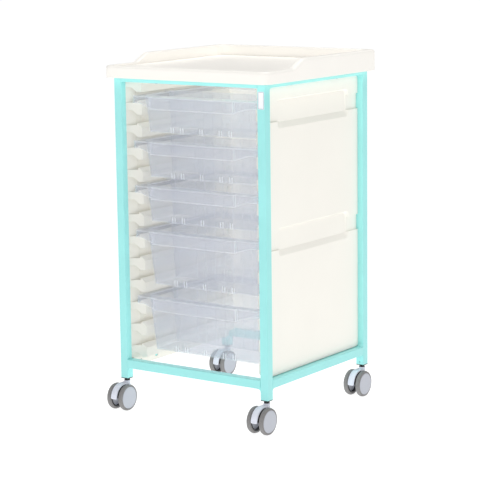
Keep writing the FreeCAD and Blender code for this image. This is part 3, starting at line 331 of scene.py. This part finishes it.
def node_looks():
    """The look of each node that doesn't take its slot's."""
    looks = {
        "side_panel_screws": SLOT_LOOKS["liner"],
        # Painted light: the back panel takes a lighter copy of the panel plastic, as if lit from the front.
        "back_panel": moulded("back_plastic_painted_light", PAINTED_LIGHT_PANEL_WHITE, 0.42),
    }
    divider_look = clear_plastic("divider_plastic", DIVIDER_EDGE_ALPHA)
    for node in nodes:
        if node.startswith("tray_divider_"):
            looks[node] = divider_look
    for joint in frame["joints"]:
        if joint["name"].endswith("_spin"):
            wheel = joint["child"]
            low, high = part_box(wheel)
            ends = (low.x, high.x) if wheel.endswith("_left") else (high.x, low.x)
            looks[wheel] = wheel_disc("disc_of_" + wheel, *ends)
            castor = joint["parent"]
            housing = castor.replace("castor_", "castor_housing_")
            if housing not in looks:
                looks[housing] = castor_cover("cover_of_" + castor, joint["pos_m"])
    return looks


own_looks = node_looks()
for entry in frame["record"]["subparts"]:
    mesh = nodes[entry["node"]].data
    mesh.materials.clear()
    mesh.materials.append(own_looks.get(entry["node"]) or SLOT_LOOKS[entry["material_slot"]])


# ---------------------------------------------------------------------------
# Label: a bare card with a thin border on the front right post
# ---------------------------------------------------------------------------

CARD_BOTTOM = 0.883
CARD_TOP = 0.930
CARD_SIDE_MARGIN = 0.0025
CARD_THICKNESS = 0.0003
CARD_CORNER = 0.002
BORDER_MARGIN = 0.001
BORDER_WIDTH = 0.0009
BORDER_CORNER = 0.0014
BORDER_THICKNESS = 0.00005
BORDER_STAND_OFF = 0.00006
CORNER_STEPS = 8


def rounded_loop(left, bottom, right, top, radius):
    """The points of an upright rectangle with round corners, as (x, z) pairs."""
    corners = ((right - radius, bottom + radius, -90), (right - radius, top - radius, 0),
               (left + radius, top - radius, 90), (left + radius, bottom + radius, 180))
    points = []
    for centre_x, centre_z, start in corners:
        for step in range(CORNER_STEPS + 1):
            angle = math.radians(start + step * 90 / CORNER_STEPS)
            points.append((centre_x + radius * math.cos(angle), centre_z + radius * math.sin(angle)))
    return points


def rounded_plate(name, low, high, front, thickness, radius, material, rim=None):
    """A thin upright plate facing the front with round corners, or only a rim of it as wide as given."""
    loops = [rounded_loop(low[0], low[1], high[0], high[1], radius)]
    if rim:
        loops.append(rounded_loop(low[0] + rim, low[1] + rim, high[0] - rim, high[1] - rim, radius - rim))
    shape = bmesh.new()
    layers = []
    for y in (front, front + thickness):
        layers.append([[shape.verts.new((x, y, z)) for x, z in loop] for loop in loops])
    count = len(loops[0])
    for step in range(count):
        following = (step + 1) % count
        for near, far in zip(*layers):
            shape.faces.new((near[step], near[following], far[following], far[step]))
        if rim:
            for outer, inner in layers:
                shape.faces.new((outer[step], outer[following], inner[following], inner[step]))
    if not rim:
        for layer in layers:
            shape.faces.new(layer[0])
    bmesh.ops.recalc_face_normals(shape, faces=shape.faces[:])
    mesh = bpy.data.meshes.new(name)
    shape.to_mesh(mesh)
    shape.free()
    piece = bpy.data.objects.new(name, mesh)
    scene.collection.objects.link(piece)
    mesh.materials.append(material)
    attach(piece, "unit")


post_low, post_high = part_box("post_front_right")
card_low = (post_low.x + CARD_SIDE_MARGIN, CARD_BOTTOM)
card_high = (post_high.x - CARD_SIDE_MARGIN, CARD_TOP)
card_front = post_low.y - CARD_THICKNESS
border_low = (card_low[0] + BORDER_MARGIN, card_low[1] + BORDER_MARGIN)
border_high = (card_high[0] - BORDER_MARGIN, card_high[1] - BORDER_MARGIN)
rounded_plate("label_card", card_low, card_high, card_front, CARD_THICKNESS, CARD_CORNER,
              moulded("label_paper", PAPER, 0.3))
rounded_plate("label_border", border_low, border_high, card_front - BORDER_STAND_OFF, BORDER_THICKNESS,
              BORDER_CORNER, moulded("label_ink", BORDER_BLUE, 0.35), rim=BORDER_WIDTH)


# ---------------------------------------------------------------------------
# Floor and light
# ---------------------------------------------------------------------------

FLOOR_SIZE = 60.0
FLOOR_GLOW = 0.87
WORLD_STRENGTH = 0.17
AMBIENT_FILL = 0.36
FILL_REACH = 0.016


def studio_floor():
    """A plain floor that glows enough to be white up to its far end."""
    recipe = Recipe("studio_floor", FLOOR_GREY, roughness=0.9,
                    Emission_Color=WHITE, Emission_Strength=FLOOR_GLOW)
    half = FLOOR_SIZE / 2
    mesh = bpy.data.meshes.new("studio_floor")
    corners = [(-half, -half, 0.0), (half, -half, 0.0), (half, half, 0.0), (-half, half, 0.0)]
    mesh.from_pydata(corners, [], [(0, 1, 2, 3)])
    mesh.materials.append(recipe.material)
    floor = bpy.data.objects.new("studio_floor", mesh)
    scene.collection.objects.link(floor)


def area_light(name, place, target, size, power):
    """A square white lamp that faces its target."""
    lamp = bpy.data.lights.new(name, "AREA")
    lamp.shape = "SQUARE"
    lamp.size = size
    lamp.energy = power
    made = bpy.data.objects.new(name, lamp)
    made.location = place
    made.rotation_euler = (Vector(target) - Vector(place)).to_track_quat("-Z", "Y").to_euler()
    scene.collection.objects.link(made)


studio_floor()
area_light("soft_front", place=(1.7, -3.3, 1.7), target=(0, 0, 0.65), size=1.6, power=13)
area_light("soft_left", place=(-1.3, -3.6, 1.2), target=(0, 0, 0.6), size=1.6, power=6)
area_light("soft_top", place=(0.2, 0.3, 4.0), target=(0, 0, 0.9), size=2.5, power=71)

world = bpy.data.worlds.new("studio_world")
world.use_nodes = True
background = world.node_tree.nodes["Background"]
background.inputs["Color"].default_value = WHITE
background.inputs["Strength"].default_value = WORLD_STRENGTH
scene.world = world

# Even fill everywhere, which only surfaces nearer than the fill's reach shade.
world.light_settings.ao_factor = AMBIENT_FILL
world.light_settings.distance = FILL_REACH
scene.cycles.use_fast_gi = True
scene.cycles.fast_gi_method = "ADD"
scene.view_settings.view_transform = "Standard"
scene.view_settings.look = "None"

# Light has to pass the many walls of five clear trays and their dividers.
scene.cycles.transparent_max_bounces = 48
scene.cycles.max_bounces = 16
scene.cycles.diffuse_bounces = 12


# ---------------------------------------------------------------------------
# Camera, at the photograph's viewing angle
# ---------------------------------------------------------------------------

CAMERA_PLACE = Vector((3.04075, -4.32120, 1.38349))
CAMERA_YAW = math.radians(35.265)
CAMERA_PITCH = math.radians(9.776)
CAMERA_ROLL = math.radians(-0.7515)
LENS_MM = 140.26
SENSOR_MM = 36.0

forward = Vector((-math.sin(CAMERA_YAW) * math.cos(CAMERA_PITCH),
                  math.cos(CAMERA_YAW) * math.cos(CAMERA_PITCH), -math.sin(CAMERA_PITCH)))
level_right = Vector((math.cos(CAMERA_YAW), math.sin(CAMERA_YAW), 0))
level_up = level_right.cross(forward)
right = level_right * math.cos(CAMERA_ROLL) + level_up * math.sin(CAMERA_ROLL)
up = -level_right * math.sin(CAMERA_ROLL) + level_up * math.cos(CAMERA_ROLL)
lens = bpy.data.cameras.new("camera")
lens.sensor_width = SENSOR_MM
lens.lens = LENS_MM
camera = bpy.data.objects.new("camera", lens)
turn = Matrix((right, up, -forward)).transposed().to_4x4()
camera.matrix_world = Matrix.Translation(CAMERA_PLACE) @ turn
scene.collection.objects.link(camera)
scene.camera = camera
